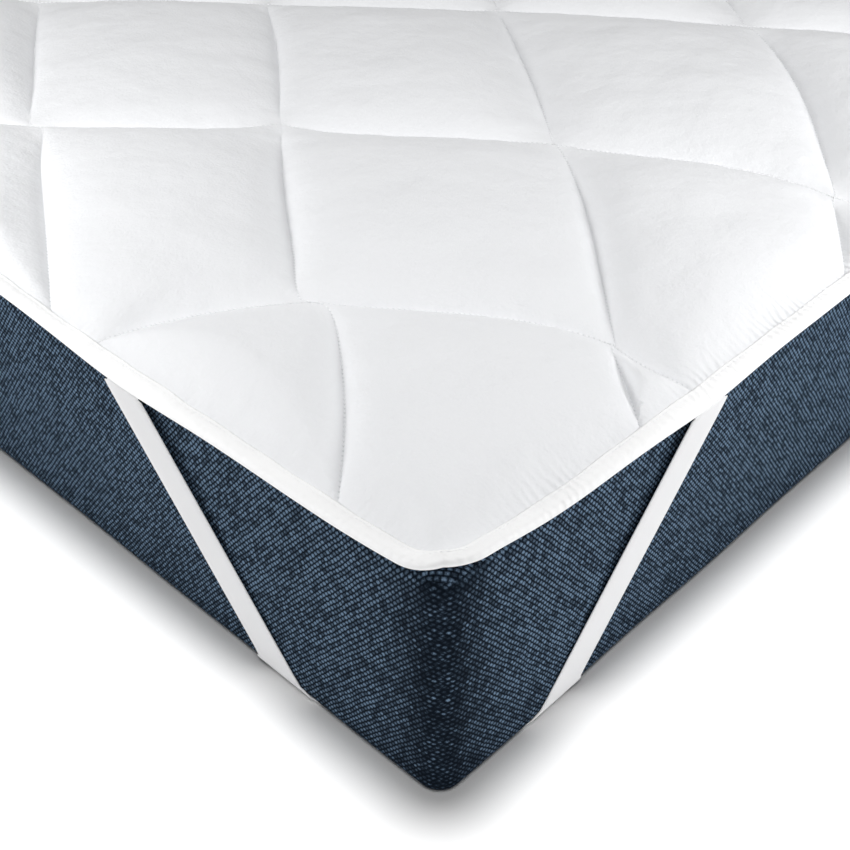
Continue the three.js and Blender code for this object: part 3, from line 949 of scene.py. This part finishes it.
def sew(name, lines, material, pitch, length, width, seed):
    """Makes a mesh of stitches along lines, each a list of points."""
    points = np.concatenate(lines)
    edges, start = [], 0
    for line in lines:
        edges.extend((start + k, start + k + 1) for k in range(len(line) - 1))
        start += len(line)
    mesh = bpy.data.meshes.new(name)
    mesh.from_pydata(points.tolist(), edges, [])
    thread_line = add_object(name + "_line", mesh)
    modifier = thread_line.modifiers.new("stitches", "NODES")
    modifier.node_group = stitching
    values = {
        "Pitch": pitch,
        "Stitch Length": length,
        "Thread": width,
        "Seed": seed,
        "Material": material,
    }
    for socket in stitching.interface.items_tree:
        if socket.name in values and socket.in_out == "INPUT":
            modifier[socket.identifier] = values[socket.name]
    evaluated = thread_line.evaluated_get(bpy.context.evaluated_depsgraph_get())
    sewn_mesh = bpy.data.meshes.new_from_object(evaluated)
    bpy.data.objects.remove(thread_line)
    sewn_mesh.shade_smooth()
    piece = add_object(name, sewn_mesh)
    print(f"{name}: {triangle_count(piece)} triangles")
    return piece


# %% [markdown]
# ## Materials
#
# Everything here is cloth, so nothing shines: what tells the pieces apart is
# how coarse the thread is and how the light catches the fibres. One function
# ends every node tree with the same kind of rough surface.


# %% End a cloth's node tree
def cloth_surface(tree, colour, roughness, normal=None, specular=0.5, sheen=0.0):
    """A rough surface in a colour, or in a socket's colours, on the output."""
    shell = add_node(tree, "ShaderNodeBsdfPrincipled", Base_Color=colour, Roughness=roughness)
    shell.inputs["Specular IOR Level"].default_value = specular
    shell.inputs["Sheen Weight"].default_value = sheen
    if normal:
        tree.links.new(normal, shell.inputs["Normal"])
    output = add_node(tree, "ShaderNodeOutputMaterial")
    tree.links.new(shell.outputs[0], output.inputs[0])


def cloth_noise(place, scale, detail):
    """Noise in the cloth at a number of waves to the metre."""
    kind = "ShaderNodeTexNoise"
    return add_node(place.id_data, kind, Vector=place, Scale=scale, Detail=detail).outputs[0]


def fading(value, rate):
    """1 where a value is 0, dying out as it grows."""
    return calc("EXPONENT", calc("MULTIPLY", value, -rate))


def within(half_size, place):
    """How far inside a half size a place is, on either side of the middle."""
    return calc("SUBTRACT", half_size, calc("ABSOLUTE", place))


def object_place(tree):
    """Where a point is on the bed, in metres, and which way its face looks."""
    place = add_node(tree, "ShaderNodeTexCoord")
    return place.outputs["Object"], place.outputs["Normal"]


# %% [markdown]
# ### The navy cover
#
# The cover is woven in leaning ribs, each a row of short floats of thread. The
# ribs lean one way on the long walls and the other way on the short ones, and
# cross each other at the upright corners. A float is about 4.5 mm long.

# %% Weave the navy cover
ribs_run, ribs_up = 232.0, 190.0  # ribs to the metre, along the wall and up it
float_pitch = 4.5 * MM
float_lean = (0.774, -0.633)  # how a float climbs for each step up and along
cover_gap, cover_thread = "#0c131c", "#728aa3"
# corner_reach also sets how far the painted shade at each upright corner spreads, and foot_reach
# how far the painted shade climbs up from the floor
corner_reach, foot_reach = 32 * MM, 50 * MM


def rib_family(tree, run, up, wobble, seed):
    """How high the cloth stands, 0 to 1, and how light each float is."""
    slant = calc("MULTIPLY_ADD", up, ribs_up, wobble)
    phase = calc("MULTIPLY_ADD", run, ribs_run, slant)
    rib = calc("FLOOR", phase)
    climb = calc("MULTIPLY", up, float_lean[0] / float_pitch)
    stagger = calc("MULTIPLY_ADD", rib, 0.34, climb)
    along = calc("MULTIPLY_ADD", run, float_lean[1] / float_pitch, stagger)
    grain = calc("FLOOR", along)
    roofs = []
    for place, power in ((phase, 1.9), (along, 1.5)):
        share = calc("FRACT", place)
        rest = calc("SUBTRACT", 1.0, share)
        hill = calc("MULTIPLY", share, rest)
        full = calc("MULTIPLY", hill, 4.0)
        roofs.append(calc("POWER", full, power))
    height = calc("MULTIPLY", *roofs)
    cell = add_node(tree, "ShaderNodeCombineXYZ", X=rib, Y=grain, Z=seed)
    chance = add_node(tree, "ShaderNodeTexWhiteNoise", Vector=cell.outputs[0])
    shade = calc("MULTIPLY_ADD", chance.outputs["Value"], 1.5, 0.35)
    return height, calc("MULTIPLY", height, shade)


def woven_cover():
    material = new_material("navy_rib_weave_polyester")
    tree = material.node_tree
    place, normal = object_place(tree)
    x, y, z = add_node(tree, "ShaderNodeSeparateXYZ", _0=place).outputs
    facing = add_node(tree, "ShaderNodeSeparateXYZ", _0=normal)
    wobble = calc("MULTIPLY", cloth_noise(place, 55.0, 2.0), 0.7)
    by_end = rib_family(tree, x, z, wobble, 1.0)
    by_side = rib_family(tree, y, z, wobble, 2.0)
    by_base = rib_family(tree, x, y, wobble, 3.0)
    beneath = calc("GREATER_THAN", calc("ABSOLUTE", facing.outputs[2]), 0.7)
    end_share = calc("POWER", calc("ABSOLUTE", facing.outputs[1]), 2.0)
    side_share = calc("SUBTRACT", 1.0, end_share)
    off_side = within(bed_half_width, x)
    off_end = within(bed_half_length, y)
    off_corner = calc("MULTIPLY", calc("ADD", off_side, off_end), 1 / corner_reach)
    squared = calc("MULTIPLY", off_corner, off_corner)
    at_corner = fading(squared, 1.0)

    def blended(end_value, side_value, base_value):
        first = calc("MULTIPLY", end_value, end_share)
        wall = calc("MULTIPLY_ADD", side_value, side_share, first)
        # Where both families cross at a corner their product is taken: the crossing is the weave's
        # own, and the darker colour it gives there is also painted shade
        crossed = calc("MULTIPLY", end_value, side_value)
        mix = add_node(tree, "ShaderNodeMix", Factor=at_corner, _2=wall, _3=crossed)
        base = add_node(tree, "ShaderNodeMix", Factor=beneath, _2=mix.outputs[0], _3=base_value)
        return base.outputs[0]

    height = blended(by_end[0], by_side[0], by_base[0])
    fibres = cloth_noise(place, 1100.0, 1.0)
    speckle = calc("MAXIMUM", calc("MULTIPLY_ADD", fibres, 3.6, -0.8), 0.0)
    # Painted shade: the upright walls are made darker towards the floor and near the upright
    # corners, where the floor and the other wall keep light away
    at_foot = fading(z, 1 / foot_reach)
    upright_foot = calc("MULTIPLY", at_foot, calc("SUBTRACT", 1.0, beneath))
    foot_painted_shade = calc("MULTIPLY_ADD", upright_foot, -0.5, 1.0)
    near_corner = fading(squared, 0.36)
    corner_painted_shade = calc("MULTIPLY_ADD", near_corner, -0.55, 1.0)
    # both kinds of painted shade together, multiplied into the threads' colour
    painted_shade = calc("MULTIPLY", corner_painted_shade, foot_painted_shade)
    dappled = calc("MULTIPLY", blended(by_end[1], by_side[1], by_base[1]), speckle)
    shade = calc("MINIMUM", calc("MULTIPLY", dappled, painted_shade), 1.0)
    threads = add_node(tree, "ShaderNodeMix", {"data_type": "RGBA"}, Factor=shade)
    threads.inputs[6].default_value = linear(cover_gap)
    threads.inputs[7].default_value = linear(cover_thread)
    bump = add_node(tree, "ShaderNodeBump", Strength=0.7, Distance=0.5 * MM, Height=height)
    cloth_surface(tree, threads.outputs[2], 1.0, bump.outputs[0], specular=0.03)
    return material


# %% [markdown]
# ### The white cloths
#
# The pad's face is brushed microfibre, very fine, with soft dents where the
# wadding lies unevenly. The tape is a folded strip of the same cloth, and its
# stitches pucker the face beside them. The bands are knitted elastic with fine
# ribs along them.

# %% Brush the pad's microfibre
pucker_pitch, pucker_reach = 7.2 * MM, 8 * MM
hole_pitch, hole_width = 4.6, 0.9  # needle holes along a seam, in mm


def tape_puckers(tree, place):
    """Small folds that the tape's stitches draw into the face beside them."""
    xyz = add_node(tree, "ShaderNodeSeparateXYZ", _0=place)
    off_side = within(half_width, xyz.outputs[0])
    off_end = within(half_length, xyz.outputs[1])
    by_end = calc("LESS_THAN", off_end, off_side)
    line = add_node(tree, "ShaderNodeMix", Factor=by_end, _2=xyz.outputs[1], _3=xyz.outputs[0])
    drift = cloth_noise(place, 45.0, 1.0)
    turns = calc("MULTIPLY_ADD", line.outputs[0], 2 * math.pi / pucker_pitch, drift)
    far_drift = calc("MULTIPLY_ADD", drift, 7.0, turns)
    fold = calc("SINE", far_drift)
    inwards = calc("SUBTRACT", calc("MINIMUM", off_side, off_end), tape_width)
    past_tape = calc("MAXIMUM", inwards, 0.0)
    patchy = calc("MULTIPLY_ADD", cloth_noise(place, 9.0, 0.0), 3.0, -1.3)
    patch = calc("MINIMUM", calc("MAXIMUM", patchy, 0.08), 0.6)
    strength = calc("MULTIPLY", patch, calc("MULTIPLY_ADD", by_end, 0.8, 0.2))
    uneven = calc("MULTIPLY", fold, strength)
    return calc("MULTIPLY", uneven, fading(past_tape, 1 / pucker_reach))


def microfibre():
    material = new_material("white_brushed_microfibre")
    tree = material.node_tree
    place, _ = object_place(tree)
    nap, soft, dent = (cloth_noise(place, *kind) for kind in ((420, 3), (55, 3), (13, 1)))
    slow = calc("MULTIPLY_ADD", dent, 2.0, soft)
    both = calc("MULTIPLY_ADD", nap, 0.25, slow)
    cloth = add_node(tree, "ShaderNodeBump", Strength=1.0, Distance=1.6 * MM, Height=both)
    puckers = tape_puckers(tree, place)
    bump = add_node(tree, "ShaderNodeBump", Strength=0.8, Distance=1.6 * MM, Height=puckers)
    tree.links.new(cloth.outputs[0], bump.inputs["Normal"])
    quilt = add_node(tree, "ShaderNodeUVMap", {"uv_map": "quilt"})
    lattice = add_node(tree, "ShaderNodeSeparateXYZ", _0=quilt.outputs[0])
    hole_shades = []
    for across, along, width, length in ((0, 1, cell_i, cell_j), (1, 0, cell_j, cell_i)):
        moved = calc("ADD", lattice.outputs[across], 0.5)
        share = calc("SUBTRACT", calc("FRACT", moved), 0.5)
        off_seam = calc("MULTIPLY", share, width / hole_width)
        squared = calc("POWER", off_seam, 2.0)
        near = fading(squared, 1.0)
        turn = calc("MULTIPLY", lattice.outputs[along], length / hole_pitch * 2 * math.pi)
        dots = calc("MAXIMUM", calc("SINE", turn), 0.0)
        hole_shades.append(calc("MULTIPLY", near, dots))
    hole_shade = calc("MAXIMUM", *hole_shades)
    # Painted shade in the needle holes: the face's colour goes darker at each hole along a seam
    coloured = add_node(tree, "ShaderNodeMix", {"data_type": "RGBA"}, Factor=hole_shade)
    coloured.inputs[6].default_value = linear("#eeeff1")
    coloured.inputs[7].default_value = linear("#d8dadc")
    cloth_surface(tree, coloured.outputs[2], 0.8, bump.outputs[0], specular=0.3, sheen=0.15)
    return material


# %% Make the tape, the elastic and the thread
def folded_tape():
    material = new_material("white_folded_tape")
    tree = material.node_tree
    place, _ = object_place(tree)
    nap = cloth_noise(place, 160.0, 3.0)
    rough = calc("MULTIPLY_ADD", nap, 1.3, tape_puckers(tree, place))
    bump = add_node(tree, "ShaderNodeBump", Strength=0.9, Distance=0.9 * MM, Height=rough)
    cloth_surface(tree, linear("#fafafa"), 0.75, bump.outputs[0], specular=0.3)
    return material


def knitted_elastic():
    material = new_material("white_knitted_elastic")
    tree = material.node_tree
    place = add_node(tree, "ShaderNodeUVMap", {"uv_map": "band"})
    xyz = add_node(tree, "ShaderNodeSeparateXYZ", _0=place.outputs[0])
    rib_pitch = 1.1 * MM
    ribs = calc("MULTIPLY", xyz.outputs[1], 6.283 / rib_pitch)
    wave = calc("SINE", ribs)
    bump = add_node(tree, "ShaderNodeBump", Strength=0.4, Distance=0.15 * MM, Height=wave)
    cloth_surface(tree, linear("#f9f9fa"), 0.6, bump.outputs[0])
    return material


def sewing_thread():
    material = new_material("white_polyester_thread")
    cloth_surface(material.node_tree, linear("#f4f4f6"), 0.5)
    return material


cover_cloth, pad_cloth, tape_cloth = woven_cover(), microfibre(), folded_tape()
band_cloth, thread = knitted_elastic(), sewing_thread()
pad.data.materials.append(pad_cloth)
tape.data.materials.append(tape_cloth)
mattress.data.materials.append(cover_cloth)
for strap, _ in straps.values():
    strap.data.materials.append(band_cloth)
print("materials:", sorted(material.name for material in bpy.data.materials))

# %% Sew the quilting and the tape
seam_lines = [(np.full(total_v + 1, row), line_v) for row in line_u[::steps_u]]
seam_lines += [(line_u, np.full(total_u + 1, column)) for column in line_v[::steps_v]]
quilt_lines = []
for rows, columns in seam_lines:
    x, y = plan[rows, columns].T
    inside = plan_inset[rows, columns] > tape_width + 2 * MM
    z = pad_height(x, y, *(table[rows, columns] for table in (plan_i, plan_j, plan_u, plan_v)))
    on_face = np.column_stack([x, y, z + rest_height + lift(x, y) + 0.25 * MM])
    breaks = np.flatnonzero(np.diff(inside.astype(int)))
    for stretch, keep in zip(np.split(on_face, breaks + 1), np.split(inside, breaks + 1)):
        if keep[0] and len(stretch) > 3:
            quilt_lines.append(stretch)
quilting = {"pitch": 4.6 * MM, "length": 3.3 * MM, "width": 0.75 * MM, "seed": 3}
quilt_stitches = sew("quilt_stitches", quilt_lines, thread, **quilting)

tape_line = ring_points(tape_feet, tape_normals, stitch_inset, 7.35 * MM)
tape_line = np.concatenate([tape_line, tape_line[:1]])
taping = {"pitch": 3.8 * MM, "length": 2.9 * MM, "width": 0.6 * MM, "seed": 4}
tape_stitches = sew("tape_stitches", [tape_line], thread, **taping)

# %% [markdown]
# ## Put the pieces on the body
#
# Everything rides on the one body, and the frame's own pieces are hidden.

# %% Hang the pieces on the body
for piece in (pad, tape, mattress, quilt_stitches, tape_stitches):
    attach(piece, "root")
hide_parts("topper_pad")
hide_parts("edge_binding")
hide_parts("mattress")
for corner, (strap, length) in straps.items():
    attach(strap, "root")
    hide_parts(f"corner_strap_{corner}")

# %% [markdown]
# ## Floor and light
#
# A white floor and three sets of lights. Lights linked to the floor alone keep
# it white, with a soft shadow round the foot of the bed. A large soft light
# overhead and one in front light the bed itself. Low lights from the left and
# the right then rake along the walls, and another pair along the topper, where
# they draw the quilting with light and shade.


# %% Lay the floor
floor_white = (0.97, 0.97, 0.97, 1)  # linear, between two hex values


def plain_floor():
    size = 30  # metres each way from the middle
    corners = [(-size, -size, 0), (size, -size, 0), (size, size, 0), (-size, size, 0)]
    floor = mesh_object("floor", corners, [(0, 1, 2, 3)], smooth=False)
    material = new_material("floor_white")
    tree = material.node_tree
    output = add_node(tree, "ShaderNodeOutputMaterial")
    paint = add_node(tree, "ShaderNodeBsdfDiffuse", Color=floor_white)
    tree.links.new(paint.outputs[0], output.inputs[0])
    floor.data.materials.append(material)
    return floor


floor = plain_floor()


# %% Hang the lights
def light_group(name, objects, state):
    """A group that lets a light reach only these objects, or all but these."""
    group = bpy.data.collections.new(name)
    for place, obj in enumerate(objects):
        group.objects.link(obj)
        group.collection_objects[place].light_linking.link_state = state
    return group


def hang(name, aim, azimuth, elevation, distance, size, strength, reach):
    """A round light at a distance from a place, seen from it at two angles in
    degrees. "Strength" is how bright it makes a white face that looks at it."""
    data = bpy.data.lights.new(name, "AREA")
    data.shape = "DISK"
    data.size = size
    data.energy = strength * (math.pi * distance) ** 2
    way = direction(math.radians(azimuth), math.radians(elevation))
    light = add_object(name, data)
    light.location = Vector(aim) + distance * way
    light.rotation_euler = (-way).to_track_quat("-Z", "Y").to_euler()
    light.light_linking.receiver_collection = reach


not_floor = light_group("all_but_floor", [floor], "EXCLUDE")
only_floor = light_group("only_floor", [floor], "INCLUDE")
only_top = light_group("only_topper", [pad, tape], "INCLUDE")
not_top = light_group("all_but_topper", [floor, pad, tape], "EXCLUDE")
corner = (-0.5, -0.8, 0.2)
hang("overhead", corner, 50, 76, 9, 3.2, 0.39, not_floor)
hang("front", corner, -125, 40, 6, 2.0, 0.31, not_floor)
hang("key", (-0.3, -0.72, 0.23), -42, 26, 0.97, 0.25, 0.62, not_top)
hang("fill", (-0.45, -0.55, 0.23), 124, 26, 1.0, 0.3, 0.62, not_top)
hang("rake_left", (-0.58, -0.72, 0.23), 134, 24, 1.0, 0.3, 0.58, only_top)
hang("rake_right", (-0.33, -0.93, 0.23), -48, 24, 0.8, 0.3, 0.70, only_top)
hang("floor_wash", corner, 45, 86.5, 9, 1.9, 0.90, only_floor)
hang("floor_front", corner, -135, 62, 9, 3.0, 0.28, only_floor)

world = bpy.data.worlds.new("studio")
world.use_nodes = True
world.node_tree.nodes["Background"].inputs["Color"].default_value = (1, 1, 1, 1)
world.node_tree.nodes["Background"].inputs["Strength"].default_value = 0.08
bpy.context.scene.world = world
bpy.context.scene.view_settings.view_transform = "Standard"
print("lights:", sorted(light.name for light in bpy.data.lights))
